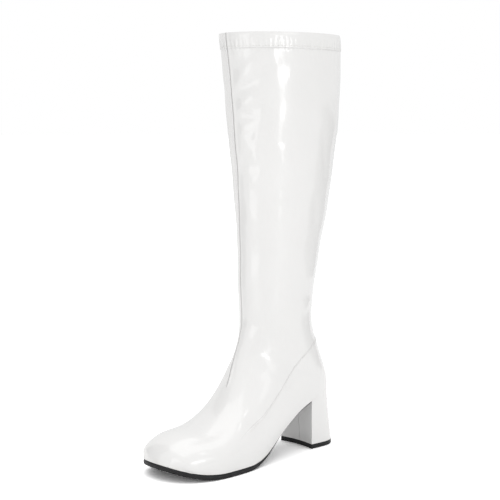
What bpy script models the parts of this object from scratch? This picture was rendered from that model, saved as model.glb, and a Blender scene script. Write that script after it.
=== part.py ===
"""Tall white patent boot with a block heel, for the left foot. Metres, toe to -Y, outer side to +X, up is +Z."""

from math import cos, hypot, pi, radians, sin, sqrt

import bmesh
import bpy
import numpy as np

# Foot
FOOT_LENGTH = 0.229
BALL_WIDTH = 0.0848
HEEL_RISE = 0.0592
FOREPART_EDGE = 0.0051
TOE_SPRING = 0.0115
SOLE_LEDGE = 0.0009
ARCH_INSET = 0.0002

# Shaft
BOOT_HEIGHT = 0.4364
COLLAR_DEPTH = 0.1390
COLLAR_WIDTH = 0.0996
COLLAR_BACK = -0.0122
CALF_SWAY = 0.0030
ANKLE_DEPTH = 0.0863
ANKLE_WIDTH = 0.0642
ANKLE_BACK = 0.0232
ANKLE_HEIGHT = 0.1384
ANKLE_TILT = 0.0104

# Instep and toe
SEAT_WIDTH = 0.0646
INSTEP_DROP = 0.0163
VAMP_RUN = 0.0392
VAMP_SLOPE = 3.1
TOE_BOX_HEIGHT = 0.0443
TOE_BOX_START = 0.785
TOE_LEAN = 0.0005
TOE_CAP_LEAD = 0.66
TOE_FRONT_LEAD = 0.64
TOE_START = 0.76
TOE_OUTER_POWER = 2.25
TOE_INNER_POWER = 2.29

# Wall, hem and seams
WALL = 0.0016
HEM_DEPTH = 0.016
HEM_STEP = 0.0007
SEAM_WIDTH = 0.0044
SEAM_HEIGHT = 0.0007
SEAM_END = 0.34
SEAM_FADE = 0.020
QUARTER_STEP = 0.0006
STEP_RUN = 0.0009
GAP = 0.0003

# Heel
HEEL_BREAST_TOP = 0.041
HEEL_BREAST_LOW = 0.036
HEEL_BACK_LOW = -0.0058
HEEL_LOW_WIDTH = 0.0483
HEEL_HOLLOW = 0.0028
TOP_PIECE = 0.0048
TOP_PIECE_BEVEL = 0.0006

# Insole
INSOLE_THICKNESS = 0.0024
INSOLE_MARGIN = 0.0014
INSOLE_BEVEL = 0.0006

# rise: share of the way from the ankle to the collar
# full: share of the growth from the ankle's size to the collar's
# sway: share of CALF_SWAY, to the back
SHAFT_ROWS = [
    # rise, full, sway
    (1.00, 1.000, -1.44),
    (0.93, 0.996, -0.60),
    (0.76, 0.900, 0.53),
    (0.56, 0.660, 1.05),
    (0.37, 0.370, 1.15),
    (0.20, 0.125, 0.32),
    (0.07, 0.004, -0.16),
]

# drop: share of the way down the back, from the ankle to the seat
# out: share of ANKLE_BACK by which the back line returns to the rearmost point
# along: share of the front line's length, from the ankle to the toe's tip
# wide: share of the way from the ankle's width to the seat's
# widest: share of the section's depth at which it is widest
THROAT_ROWS = [
    # drop, out, along, wide, widest
    (0.04, 0.03, 0.000, 0.00, 0.50),
    (0.45, 0.48, 0.035, 0.15, 0.49),
    (0.84, 0.97, 0.080, 0.45, 0.47),
    (1.00, 1.00, 0.125, 0.70, 0.45),
]

# station: share of the foot's length, where the section starts at the sole
# along: share of the front line's length, where it ends
# outer, inner: half widths as shares of the ball's width
# lean: share of TOE_LEAN, to the inner side
# power: roundness of the upper part, 2 is an ellipse
FOOT_ROWS = [
    # station, along, outer, inner, widest, lean, power
    (0.032, 0.175, 0.388, 0.382, 0.43, 0.00, 2.03),
    (0.115, 0.228, 0.397, 0.388, 0.41, 0.00, 2.05),
    (0.240, 0.284, 0.412, 0.396, 0.38, 0.00, 2.08),
    (0.380, 0.345, 0.440, 0.403, 0.33, 0.00, 2.09),
    (0.510, 0.410, 0.485, 0.420, 0.29, 0.00, 2.10),
    (0.620, 0.485, 0.530, 0.446, 0.26, 0.10, 2.11),
    (0.715, 0.570, 0.554, 0.474, 0.24, 0.30, 2.16),
    (0.795, 0.660, 0.551, 0.481, 0.21, 0.55, 2.22),
    (0.860, 0.750, 0.522, 0.457, 0.18, 0.75, 2.26),
    (0.900, 0.840, 0.479, 0.425, 0.12, 0.90, 2.25),
    (0.922, 0.925, 0.443, 0.394, 0.05, 0.97, 2.19),
    (0.930, 1.000, 0.350, 0.370, 0.00, 1.00, 2.10),
]

# outer, inner: half widths of the foot's outline as shares of the ball's width
# From TOE_START on the outline is the toe's own curve, and the last row only steers the spline
OUTLINE_ROWS = [
    # station, outer, inner
    (0.02, 0.165, 0.165),
    (0.06, 0.265, 0.265),
    (0.13, 0.330, 0.330),
    (0.24, 0.350, 0.340),
    (0.36, 0.368, 0.325),
    (0.48, 0.436, 0.355),
    (0.60, 0.511, 0.420),
    (0.69, 0.540, 0.462),
    (0.76, 0.546, 0.475),
    (0.83, 0.542, 0.474),
]

# under: height of the sole's underside as a share of HEEL_RISE
# edge: thickness of the sole as a share of FOREPART_EDGE
# spring: share of TOE_SPRING
SOLE_ROWS = [
    # station, under, edge, spring
    (0.00, 1.000, 0.35, 0.00),
    (0.08, 0.975, 0.35, 0.00),
    (0.16, 0.910, 0.35, 0.00),
    (0.24, 0.792, 0.35, 0.00),
    (0.33, 0.571, 0.35, 0.00),
    (0.42, 0.328, 0.40, 0.00),
    (0.50, 0.122, 0.60, 0.00),
    (0.58, 0.016, 0.88, 0.00),
    (0.64, 0.000, 1.00, 0.00),
    (0.76, 0.000, 1.00, 0.00),
    (0.84, 0.000, 1.00, 0.13),
    (0.92, 0.000, 1.00, 0.47),
    (1.00, 0.000, 1.00, 1.00),
]

# The quarter seam from the back of the ankle to the sole's edge
# station: share of the foot's length; height: share of ANKLE_HEIGHT above the sole's top there
QUARTER_ROWS = [
    # station, height
    (-0.10, 0.450),
    (0.04, 0.452),
    (0.15, 0.447),
    (0.26, 0.405),
    (0.34, 0.370),
    (0.43, 0.326),
    (0.51, 0.300),
    (0.60, 0.260),
    (0.68, 0.190),
    (0.74, 0.080),
    (0.78, -0.060),
]

COLUMNS = 40
ROWS_BETWEEN = 2
WAIST_ROWS = (0.25, 0.75, 2.25, 2.75, 3.25, 3.75)
HEEL_CENTRE = (HEEL_BREAST_LOW + HEEL_BACK_LOW) / 2


def column(rows, index):
    return [row[index] for row in rows]


def natural(knots, values, at):
    """Natural cubic spline through the values."""
    x, y = np.asarray(knots, float), np.asarray(values, float)
    count, step = len(x), np.diff(x)
    matrix, right = np.eye(count), np.zeros(count)
    for i in range(1, count - 1):
        matrix[i, i - 1:i + 2] = step[i - 1], 2 * (step[i - 1] + step[i]), step[i]
        right[i] = 6 * ((y[i + 1] - y[i]) / step[i] - (y[i] - y[i - 1]) / step[i - 1])
    bend = np.linalg.solve(matrix, right)
    at = np.asarray(at, float)
    i = np.clip(np.searchsorted(x, at) - 1, 0, count - 2)
    t = at - x[i]
    slope = (y[i + 1] - y[i]) / step[i] - step[i] * (2 * bend[i] + bend[i + 1]) / 6
    return y[i] + t * (slope + t * (bend[i] / 2 + t * (bend[i + 1] - bend[i]) / (6 * step[i])))


def monotone(knots, values, at):
    """Cubic through the values that never overshoots them, so that a flat stretch stays flat."""
    x, y = np.asarray(knots, float), np.asarray(values, float)
    step, rate = np.diff(x), np.diff(y) / np.diff(x)
    slope = np.zeros(len(x))
    slope[0], slope[-1] = rate[0], rate[-1]
    for i in range(1, len(x) - 1):
        if rate[i - 1] * rate[i] > 0:
            a, b = 2 * step[i] + step[i - 1], step[i] + 2 * step[i - 1]
            slope[i] = (a + b) / (a / rate[i - 1] + b / rate[i])
    at = np.clip(np.asarray(at, float), x[0], x[-1])
    i = np.clip(np.searchsorted(x, at) - 1, 0, len(x) - 2)
    t = (at - x[i]) / step[i]
    ends = y[i] * (1 + 2 * t) * (1 - t) ** 2 + y[i + 1] * t * t * (3 - 2 * t)
    return ends + step[i] * (slope[i] * t * (1 - t) ** 2 - slope[i + 1] * t * t * (1 - t))


def smooth(value):
    value = np.clip(value, 0, 1)
    return value * value * (3 - 2 * value)


def sole_under(run):
    """Height of the sole's underside at a distance from the heel's back."""
    at, stations = np.asarray(run, float) / FOOT_LENGTH, column(SOLE_ROWS, 0)
    low = HEEL_RISE * monotone(stations, column(SOLE_ROWS, 1), at)
    return low + TOE_SPRING * monotone(stations, column(SOLE_ROWS, 3), at)


def sole_top(run):
    at = np.asarray(run, float) / FOOT_LENGTH
    return sole_under(run) + FOREPART_EDGE * monotone(column(SOLE_ROWS, 0), column(SOLE_ROWS, 2), at)


def half_widths(run):
    """Outer and inner half widths of the foot's outline."""
    knots = [0] + [sqrt(row[0]) for row in OUTLINE_ROWS]
    at = np.clip(np.asarray(run, float) / FOOT_LENGTH, 0, 1)
    past = np.clip((at - TOE_START) / (1 - TOE_START), 0, 1)
    widths = []
    for side, power in ((1, TOE_OUTER_POWER), (2, TOE_INNER_POWER)):
        spline = natural(knots, [0] + column(OUTLINE_ROWS, side), np.sqrt(np.minimum(at, TOE_START)))
        widths.append(BALL_WIDTH * spline.clip(0) * (1 - past ** power) ** (1 / power))
    return widths


def centre_line(run):
    """How far the toe's middle lies to the inner side."""
    return -TOE_LEAN * smooth((np.asarray(run, float) / FOOT_LENGTH - TOE_START) / (1 - TOE_START))


def heel_start(run):
    """How far the outline's start is moved forward, because the heel's back leans over the seat."""
    seat = ANKLE_BACK * (1 - THROAT_ROWS[-1][1])
    return seat * np.maximum(0, 1 - np.asarray(run, float) / (0.15 * FOOT_LENGTH)) ** 2


def half_outline(side, start=0.0, steps=26, toe_steps=12):
    """(x, run) of the foot's outline on one side, from the heel's back, or from start, to the toe's tip."""
    end = TOE_START * FOOT_LENGTH
    ease = np.linspace(0, 1, steps) ** (2 if start == 0 else 1)
    angle = np.linspace(0, pi / 2, toe_steps + 1)[1:]
    power = TOE_OUTER_POWER if side > 0 else TOE_INNER_POWER
    toe = end + np.sin(angle) ** (2 / power) * (FOOT_LENGTH - end)
    run = np.concatenate([start + ease * (end - start), toe])
    width = half_widths(run)[0 if side > 0 else 1]
    return np.stack([centre_line(run) + side * width, run + heel_start(run)], 1)


def moved_out(line, by):
    """A line moved to its left by a distance, in its own plane. Its first and last points keep their own direction."""
    along = np.gradient(line, axis=0)
    length = np.hypot(along[:, 0], along[:, 1])
    return line + np.asarray(by).reshape(-1, 1) * np.stack([-along[:, 1], along[:, 0]], 1) / length[:, None]


def loop_outline(grow, start=0.0):
    """The whole outline as a loop from the heel, round the toe on the outer side and back, grown by a distance."""
    outer, inner = half_outline(1, start=start), half_outline(-1, start=start)
    line = np.concatenate([outer, inner[-2::-1]])
    if start == 0:
        line = line[:-1]
        wrapped = np.concatenate([line[-3:], line, line[:3]])
        grow = np.broadcast_to(grow, len(line)) if np.ndim(grow) == 0 else grow
        return moved_out(wrapped, -np.concatenate([grow[-3:], grow, grow[:3]]))[3:-3]
    return moved_out(line, -np.broadcast_to(grow, len(line)))


def bezier(points, at):
    t = np.asarray(at)[:, None]
    a, b, c, d = (np.array(point, float) for point in points)
    return a * (1 - t) ** 3 + 3 * b * t * (1 - t) ** 2 + 3 * c * t * t * (1 - t) + d * t ** 3


def front_line():
    """Points (run, height) of the front line from the ankle to the toe's tip, and the share of its length at each."""
    ankle = np.array([ANKLE_BACK + ANKLE_DEPTH, ANKLE_HEIGHT + ANKLE_TILT / 2])
    box = np.array([TOE_BOX_START * FOOT_LENGTH, TOE_BOX_HEIGHT])
    tip = np.array([FOOT_LENGTH, float(sole_top(FOOT_LENGTH)) + GAP])
    slope = radians(VAMP_SLOPE)
    back = np.array([-cos(slope), sin(slope)])
    t = np.linspace(0, 1, 80)
    instep = bezier([ankle, ankle - [0, INSTEP_DROP], box + back * VAMP_RUN, box], t)
    lead = back * TOE_CAP_LEAD * (tip[0] - box[0])
    toe = bezier([box, box - lead, tip + [0, TOE_FRONT_LEAD * (box[1] - tip[1])], tip], t)
    line = np.concatenate([instep, toe[1:]])
    length = np.concatenate([[0], np.cumsum(np.hypot(*np.diff(line, axis=0).T))])
    return line, length / length[-1]


def key_sections():
    """A row for each section: low run and height, top run and height, outer, inner, widest, lean, power."""
    line, share = front_line()

    def front(along):
        return float(np.interp(along, share, line[:, 0])), float(np.interp(along, share, line[:, 1]))

    keys = []
    for rise, full, sway in SHAFT_ROWS:
        depth = ANKLE_DEPTH + full * (COLLAR_DEPTH - ANKLE_DEPTH)
        half = (ANKLE_WIDTH + full * (COLLAR_WIDTH - ANKLE_WIDTH)) / 2
        back = ANKLE_BACK + full * (COLLAR_BACK - ANKLE_BACK) - sway * CALF_SWAY
        height = ANKLE_HEIGHT + rise * (BOOT_HEIGHT - ANKLE_HEIGHT)
        tilt = ANKLE_TILT * max(0, 1 - rise / 0.4) ** 2
        keys.append((back, height - tilt / 2, back + depth, height + tilt / 2, half, half, 0.5, 0, 2.05))
    ankle_low, seat = ANKLE_HEIGHT - ANKLE_TILT / 2, float(sole_top(0)) + GAP
    for drop, out, along, wide, widest in THROAT_ROWS:
        half = (ANKLE_WIDTH + wide * (SEAT_WIDTH - ANKLE_WIDTH)) / 2
        low = (ANKLE_BACK * (1 - out), ankle_low + drop * (seat - ankle_low))
        keys.append((*low, *front(along), half, half, widest, 0, 2.05))
    for station, along, outer, inner, widest, lean, power in FOOT_ROWS:
        run = station * FOOT_LENGTH
        low = (run, float(sole_top(run)) + GAP)
        keys.append((*low, *front(along), outer * BALL_WIDTH, inner * BALL_WIDTH, widest, -lean * TOE_LEAN, power))
    return np.array(keys), len(SHAFT_ROWS) + len(THROAT_ROWS) - 1


def toe_section(side, start, steps):
    """(x, run) of the outline from the last section's start to the tip, at equal steps along it."""
    line = half_outline(side, start=start, steps=2, toe_steps=90)
    line = line[line[:, 1] >= start]
    width = half_widths(start)[0 if side > 0 else 1]
    line = np.concatenate([[[float(centre_line(start)) + side * float(width), start]], line])
    length = np.concatenate([[0], np.cumsum(np.hypot(*np.diff(line, axis=0).T))])
    at = np.linspace(0, length[-1], steps + 1)
    return np.interp(at, length, line[:, 0]), np.interp(at, length, line[:, 1])


def half_section(width, low_width, widest, power, depth, steps):
    """Share of the way up the section and half width there, at equal steps along its half from low to top."""
    low_power = 2.1
    angle = np.linspace(0, pi / 2, 90)
    up = widest + (1 - widest) * np.sin(angle) ** (2 / power)
    out = width * np.cos(angle).clip(0) ** (2 / power)
    if low_width < width * 0.9999 and widest > 0.001:
        reach = widest / (1 - (low_width / width) ** low_power) ** (1 / low_power)
        angle = angle[::-1]
        low_up = widest - reach * np.sin(angle) ** (2 / low_power)
        low_out = width * np.cos(angle).clip(0) ** (2 / low_power)
        inside = low_up > 0
        up = np.concatenate([[0.0], low_up[inside][:-1], up])
        out = np.concatenate([[low_width], low_out[inside][:-1], out])
    length = np.concatenate([[0], np.cumsum(np.hypot(np.diff(up) * depth, np.diff(out)))])
    at = np.linspace(0, length[-1], steps + 1)
    return np.interp(at, length, up), np.interp(at, length, out)


def spline_to_rest(values, at, backward=False):
    """Spline through the values that comes to rest at its end, or at its start when it runs backward."""
    values = np.asarray(values, float)
    ghost = values[-2:-5:-1] if not backward else values[3:0:-1]
    line = np.concatenate([values, ghost] if not backward else [ghost, values])
    first = 0 if not backward else -3
    return natural(np.arange(len(line)) + first, line, at)


def skin_grid():
    """Points (x, run, height) of the upper's outside, a row for each section, and the last closed row's index."""
    keys, corner = key_sections()
    count = len(keys)
    at = np.arange((count - 1) * ROWS_BETWEEN + 1) / ROWS_BETWEEN
    at = np.unique(np.concatenate([at, corner + np.array(WAIST_ROWS)]))
    index = np.arange(count)
    low_run, low_height, top_run, top_height, outer, inner, widest, lean, power = (
        natural(index, keys[:, j], at) for j in range(9)
    )
    shut = at <= corner
    for j, values in ((0, low_run), (1, low_height)):
        values[shut] = spline_to_rest(keys[:corner + 1, j], at[shut])
    stations = np.concatenate([[0], keys[corner + 1:, 0]])
    low_run[~shut] = spline_to_rest(stations, at[~shut] - corner, backward=True)
    edge = half_widths(np.where(shut, 0, low_run))
    low_middle = np.where(shut, 0, centre_line(low_run))
    low_run[~shut] += heel_start(low_run[~shut])
    low_height[~shut] = sole_top(low_run[~shut]) + GAP
    half = COLUMNS // 2
    grid = np.zeros((len(at), COLUMNS + 1, 3))
    for i in range(len(at)):
        depth = hypot(top_run[i] - low_run[i], top_height[i] - low_height[i])
        for side, width, low_width in ((1, outer[i], edge[0][i]), (-1, inner[i], edge[1][i])):
            if i < len(at) - 1:
                low_width = 0.0 if shut[i] else min(low_width, width)
                up, out = half_section(width, low_width, max(widest[i], 1e-5), power[i], depth, half)
                x = low_middle[i] * (1 - up) + lean[i] * up + side * out
                run = low_run[i] + up * (top_run[i] - low_run[i])
                height = low_height[i] + up * (top_height[i] - low_height[i])
            else:
                x, run = toe_section(side, low_run[i], half)
                height = sole_top(run) + GAP
            points = np.stack([x, run, height], 1)
            if side > 0:
                grid[i, :half + 1] = points
            else:
                grid[i, half:] = points[::-1]
    return grid, int(np.count_nonzero(shut)) - 1


def placed(x, run, height):
    return (float(x), HEEL_CENTRE - float(run), float(height))


def skin_mesh():
    """The upper's outside as an open sheet. Closed rows share their first and last point, at the back."""
    grid, corner = skin_grid()
    bm = bmesh.new()
    rows = []
    for i, line in enumerate(grid):
        row = [bm.verts.new(placed(*point)) for point in (line[:-1] if i <= corner else line)]
        rows.append(row + [row[0]] if i <= corner else row)
    for upper_row, lower_row in zip(rows[:-1], rows[1:]):
        for a, b, c, d in zip(upper_row[:-1], upper_row[1:], lower_row[1:], lower_row[:-1]):
            bm.faces.new([a, b, c, d] if a is not b else [a, c, d])
    bm.normal_update()
    return bm


def split_along(bm, distance, level):
    """Adds an edge line across the sheet wherever the distance function passes the level."""
    new_verts = []
    value = {vert: distance(vert.co) - level for vert in bm.verts}
    for edge in list(bm.edges):
        a, b = edge.verts
        first, second = value[a], value[b]
        if first * second < 0 and min(abs(first), abs(second)) > 0.02 * abs(first - second):
            new_verts.append(bmesh.utils.edge_split(edge, a, first / (first - second))[1])
        elif first * second < 0:
            new_verts.append(a if abs(first) < abs(second) else b)
    bmesh.ops.connect_verts(bm, verts=list(set(new_verts)))


def below_collar(point):
    return BOOT_HEIGHT - point[2]


def seam_line():
    """Height of the seam's end above the floor, on the front line."""
    line, share = front_line()
    return float(np.interp(SEAM_END, share, line[:, 1]))


def off_seam(point):
    """Distance to the side from the front seam, large behind and below it."""
    middle = HEEL_CENTRE - (ANKLE_BACK + ANKLE_DEPTH / 2)
    if point[2] < seam_line() or point[1] > middle:
        return 1.0
    return abs(point[0])


def past_quarter(point):
    """Height above the quarter seam, less than zero on the heel's side of it."""
    run, stations = HEEL_CENTRE - point[1], column(QUARTER_ROWS, 0)
    at = min(max(run / FOOT_LENGTH, stations[0]), stations[-1])
    share = float(natural(stations, column(QUARTER_ROWS, 1), at))
    return point[2] - float(sole_top(run)) - share * ANKLE_HEIGHT


def relief(point):
    """How far the outside stands out from the sheet's base form."""
    hem = HEM_STEP * smooth((HEM_DEPTH + STEP_RUN / 2 - below_collar(point)) / STEP_RUN)
    fade = smooth((point[2] - seam_line()) / SEAM_FADE)
    seam = SEAM_HEIGHT * fade * smooth((SEAM_WIDTH / 2 - off_seam(point)) / STEP_RUN)
    quarter = QUARTER_STEP * smooth((STEP_RUN / 2 - past_quarter(point)) / STEP_RUN)
    return max(float(hem), float(seam)) + float(quarter)


def build_upper():
    bm = skin_mesh()
    for level in (HEM_DEPTH - STEP_RUN / 2, HEM_DEPTH + STEP_RUN / 2):
        split_along(bm, below_collar, level)
    for level in (-STEP_RUN / 2, STEP_RUN / 2):
        split_along(bm, past_quarter, level)
    for level in (SEAM_WIDTH / 2 - STEP_RUN, SEAM_WIDTH / 2):
        split_along(bm, off_seam, level)
    bmesh.ops.triangulate(bm, faces=bm.faces)
    bm.normal_update()
    bm.verts.index_update()
    middle = BOOT_HEIGHT * 0.6
    probe = max((vert for vert in bm.verts if vert.co.z > middle), key=lambda vert: -vert.co.y)
    facing = 1 if probe.normal.y < 0 else -1
    base = [vert.co.copy() for vert in bm.verts]
    normals = [vert.normal * facing for vert in bm.verts]
    inside = [point - normal * WALL for point, normal in zip(base, normals)]
    outside = [point + normal * relief(point) for point, normal in zip(base, normals)]
    edges = [edge for edge in bm.edges if edge.is_boundary]
    sideways = {}
    for edge in edges:
        a, b = edge.verts
        for vert in edge.verts:
            sideways.setdefault(vert.index, []).append((a.co - b.co).normalized())
    for index, directions in sideways.items():
        if base[index].z > middle:
            outside[index] = base[index] + normals[index] * HEM_STEP * 0.4
            outside[index].z = inside[index].z = BOOT_HEIGHT
            continue
        first, second = directions
        along = first + second if first.dot(second) > 0 else first - second
        across = along.cross((0, 0, 1)).normalized()
        across *= -1 if across.dot(normals[index]) > 0 else 1
        height = float(sole_top(HEEL_CENTRE - base[index].y)) + GAP
        outside[index].z = height
        inside[index] = base[index] + across * WALL
        inside[index].z = height
    faces = [[vert.index for vert in face.verts] for face in bm.faces]
    rims = [[vert.index for vert in edge.verts] for edge in edges]
    bm.free()
    count = len(base)
    faces += [[i + count for i in reversed(face)] for face in faces]
    faces += [[a, b, b + count, a + count] for a, b in rims]
    return solid("upper", outside + inside, faces)


def solid(name, points, faces):
    bm = bmesh.new()
    verts = [bm.verts.new(point) for point in points]
    for face in faces:
        bm.faces.new([verts[i] for i in face])
    bmesh.ops.recalc_face_normals(bm, faces=bm.faces)
    bmesh.ops.triangulate(bm, faces=bm.faces)
    mesh = bpy.data.meshes.new(name)
    bm.to_mesh(mesh)
    bm.free()
    made = bpy.data.objects.new(name, mesh)
    bpy.context.scene.collection.objects.link(made)
    return made


def lofted(name, rings, open_ends=False):
    """A solid through rings of equal count, low to high, whose points pair up from side to side across each end."""
    count = len(rings[0])
    points = [point for ring in rings for point in ring]
    faces = []
    for level in range(len(rings) - 1):
        low, high = level * count, (level + 1) * count
        for i in range(count):
            j = (i + 1) % count
            faces.append([low + i, low + j, high + j, high + i])
    for base, flip in ((0, True), ((len(rings) - 1) * count, False)):
        for i in range(count // 2):
            pair = [i, i + 1, (-i - 2) % count, (-i - 1) % count] if open_ends else [i, i + 1, (-i - 1) % count, (-i) % count]
            cap = [base + k for k in dict.fromkeys(pair)]
            if len(cap) > 2:
                faces.append(cap[::-1] if flip else cap)
    return solid(name, points, faces)


def build_outsole():
    """The sole's side bulges a little, from a small step under the upper to a rounded edge at the floor."""
    start = HEEL_BREAST_TOP + GAP
    rings = []
    for level, inset in ((0.0, 0.75), (0.10, 0.30), (0.26, 0.0), (0.74, 0.0), (0.90, 0.18), (1.0, 0.45)):
        flat = loop_outline(0.0, start=start)
        forepart = smooth((flat[:, 1] / FOOT_LENGTH - 0.30) / 0.25)
        edge = sole_top(flat[:, 1]) - sole_under(flat[:, 1])
        line = loop_outline(SOLE_LEDGE * forepart - 0.25 * inset * edge - ARCH_INSET * (1 - forepart), start=start)
        line[0, 1] = line[-1, 1] = start
        run = line[:, 1]
        height = sole_under(run) + level * (sole_top(run) - 0.5 * GAP - sole_under(run))
        rings.append([placed(x, f, z) for x, f, z in zip(line[:, 0], run, height)])
    return lofted("outsole", rings, open_ends=True)


def heel_outline(share, steps=15):
    """(x, run) of the heel block's outline: share 1 under the seat, 0 at the top piece, from the outer breast corner."""
    angle = np.linspace(0, pi, 2 * steps + 1)
    half, depth, power = HEEL_LOW_WIDTH / 2, (HEEL_BREAST_LOW - HEEL_BACK_LOW) * 0.6, 2.3
    shoulder = HEEL_BACK_LOW + depth
    x = half * np.sign(np.cos(angle)) * np.abs(np.cos(angle)) ** (2 / power)
    low = np.stack([x, shoulder - depth * np.sin(angle) ** (2 / power)], 1)
    low = np.concatenate([[[half, HEEL_BREAST_LOW]], low, [[-half, HEEL_BREAST_LOW]]])
    seat = np.linspace(HEEL_BREAST_TOP, 0, 60) ** 2 / HEEL_BREAST_TOP
    outer, inner = half_widths(seat)
    high = np.concatenate([
        np.stack([outer, seat + heel_start(seat)], 1),
        np.stack([-inner, seat + heel_start(seat)], 1)[-2::-1],
    ])
    high[0, 1] = high[-1, 1] = HEEL_BREAST_TOP
    lines = []
    for line in (low, high):
        length = np.concatenate([[0], np.cumsum(np.hypot(*np.diff(line, axis=0).T))])
        even = np.linspace(0, length[-1], 2 * steps + 1)
        lines.append(np.stack([np.interp(even, length, line[:, k]) for k in (0, 1)], 1))
    line = lines[0] * (1 - share) + lines[1] * share
    breast = np.linspace(line[-1], line[0], 9)[1:-1]
    breast[:, 1] -= HEEL_HOLLOW * (1 - np.linspace(-1, 1, 9)[1:-1] ** 2)
    return np.concatenate([line, breast])


def heel_cap(name, rings):
    """A solid through heel rings whose ends are filled by one fan each, from a point in the middle."""
    count = len(rings[0])
    points = [point for ring in rings for point in ring]
    faces = []
    for level in range(len(rings) - 1):
        low, high = level * count, (level + 1) * count
        for i in range(count):
            j = (i + 1) % count
            faces.append([low + i, low + j, high + j, high + i])
    for base, ring, flip in ((0, rings[0], True), ((len(rings) - 1) * count, rings[-1], False)):
        middle = np.mean(ring, axis=0)
        if not flip and name == "heel_block":
            middle[2] = float(sole_top(HEEL_CENTRE - middle[1])) - 0.5 * GAP
        points.append(tuple(middle))
        for i in range(count):
            fan = [base + i, base + (i + 1) % count, len(points) - 1]
            faces.append(fan[::-1] if flip else fan)
    return solid(name, points, faces)


def build_heel_block():
    low = TOP_PIECE + GAP
    rings = []
    for share in (0.0, 0.25, 0.5, 0.75, 1.0):
        line = heel_outline(share)
        waist = 1 - 0.05 * share * (1 - share)
        centre = line.mean(axis=0)
        line = centre + (line - centre) * waist
        height = low + share * (sole_top(line[:, 1]) - 0.5 * GAP - low)
        rings.append([placed(x, f, z) for x, f, z in zip(line[:, 0], line[:, 1], height)])
    return heel_cap("heel_block", rings)


def build_top_piece():
    rings = []
    for height, inset in ((0.0, TOP_PIECE_BEVEL), (TOP_PIECE_BEVEL, 0.0), (TOP_PIECE, 0.0)):
        line = heel_outline(0.0)
        centre = line.mean(axis=0)
        reach = np.hypot(*(line - centre).T)[:, None]
        line = centre + (line - centre) * (1 - inset / reach)
        rings.append([placed(x, f, height) for x, f in line])
    return heel_cap("heel_top_piece", rings)


def build_insole():
    line = loop_outline(-(WALL + INSOLE_MARGIN))
    rings = []
    for height, inset in ((0.0, 0.0), (INSOLE_THICKNESS - INSOLE_BEVEL, 0.0), (INSOLE_THICKNESS, INSOLE_BEVEL)):
        edge = loop_outline(-(WALL + INSOLE_MARGIN) - inset)
        top = sole_top(line[:, 1]) + GAP + height
        rings.append([placed(x, f, z) for x, f, z in zip(edge[:, 0], edge[:, 1], top)])
    return lofted("insole", rings)


def painted(made, colour, roughness):
    material = bpy.data.materials.new(made.name)
    material.use_nodes = True
    shader = material.node_tree.nodes["Principled BSDF"]
    shader.inputs["Base Color"].default_value = (*colour, 1)
    shader.inputs["Roughness"].default_value = roughness
    shader.inputs["Metallic"].default_value = 0
    made.data.materials.append(material)


def main():
    for old in list(bpy.data.objects):
        bpy.data.objects.remove(old)
    painted(build_upper(), (0.86, 0.85, 0.83), 0.12)
    painted(build_outsole(), (0.012, 0.012, 0.013), 0.35)
    painted(build_heel_block(), (0.86, 0.85, 0.83), 0.15)
    painted(build_top_piece(), (0.012, 0.012, 0.013), 0.45)
    painted(build_insole(), (0.55, 0.52, 0.47), 0.7)


main()
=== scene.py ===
from math import atan2, cos, pi, radians, sin

import bmesh
import bpy
import numpy as np
from mathutils import Matrix, Vector
from mathutils.bvhtree import BVHTree


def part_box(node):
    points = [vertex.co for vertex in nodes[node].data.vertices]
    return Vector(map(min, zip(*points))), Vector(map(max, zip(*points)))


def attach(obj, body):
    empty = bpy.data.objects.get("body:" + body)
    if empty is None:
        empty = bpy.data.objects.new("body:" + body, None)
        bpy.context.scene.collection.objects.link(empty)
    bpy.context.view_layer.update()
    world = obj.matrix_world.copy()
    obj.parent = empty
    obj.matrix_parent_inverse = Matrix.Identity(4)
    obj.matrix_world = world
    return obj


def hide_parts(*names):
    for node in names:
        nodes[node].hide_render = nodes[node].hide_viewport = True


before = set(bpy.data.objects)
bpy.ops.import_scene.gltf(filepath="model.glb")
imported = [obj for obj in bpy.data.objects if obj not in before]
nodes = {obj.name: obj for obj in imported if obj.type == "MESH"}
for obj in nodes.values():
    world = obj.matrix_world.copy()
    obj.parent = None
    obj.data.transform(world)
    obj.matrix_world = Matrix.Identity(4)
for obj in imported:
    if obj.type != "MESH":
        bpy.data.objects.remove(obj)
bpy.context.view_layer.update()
print("frame loaded:", ", ".join(sorted(nodes)))

# stage: pale floor, bright surround, soft lights and the camera
stage = {
    "turn": 48.76,            # degrees round the boot, from straight in front of the toe
    "pitch": 5.98,            # degrees that the camera looks down
    "distance": 1.2351,       # along the floor, from the aim point
    "height": 0.3451,
    "slide": -0.0092,         # to the camera's right
    "aim": (0.0, -0.0752),    # point on the floor near the boot's middle
    "lens": 86.4,
    "sensor": 36.0,
    "lightsAim": 0.25,        # height that the softboxes point at
    "floorSize": 60.0,
    "floorWhite": 0.94,       # as the boot feels it
    "floorSeen": 1.60,        # as the camera sees it: overexposed paper
    "surround": 0.825,
}


def cameraAxes():
    turn = radians(stage["turn"])
    return Vector((sin(turn), -cos(turn), 0)), Vector((cos(turn), sin(turn), 0))


def makeCamera():
    away, right = cameraAxes()
    data = bpy.data.cameras.new("camera")
    data.lens = stage["lens"]
    data.sensor_width = stage["sensor"]
    camera = bpy.data.objects.new("camera", data)
    bpy.context.scene.collection.objects.link(camera)
    camera.location = Vector((*stage["aim"], stage["height"])) + away * stage["distance"]
    camera.location += right * stage["slide"]
    down = radians(stage["pitch"])
    look = -away * cos(down) - Vector((0, 0, sin(down)))
    camera.rotation_euler = look.to_track_quat("-Z", "Y").to_euler()
    bpy.context.scene.camera = camera


def newMaterial(name):
    material = bpy.data.materials.new(name)
    material.use_nodes = True
    return material, material.node_tree, material.node_tree.nodes["Principled BSDF"]


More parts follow.
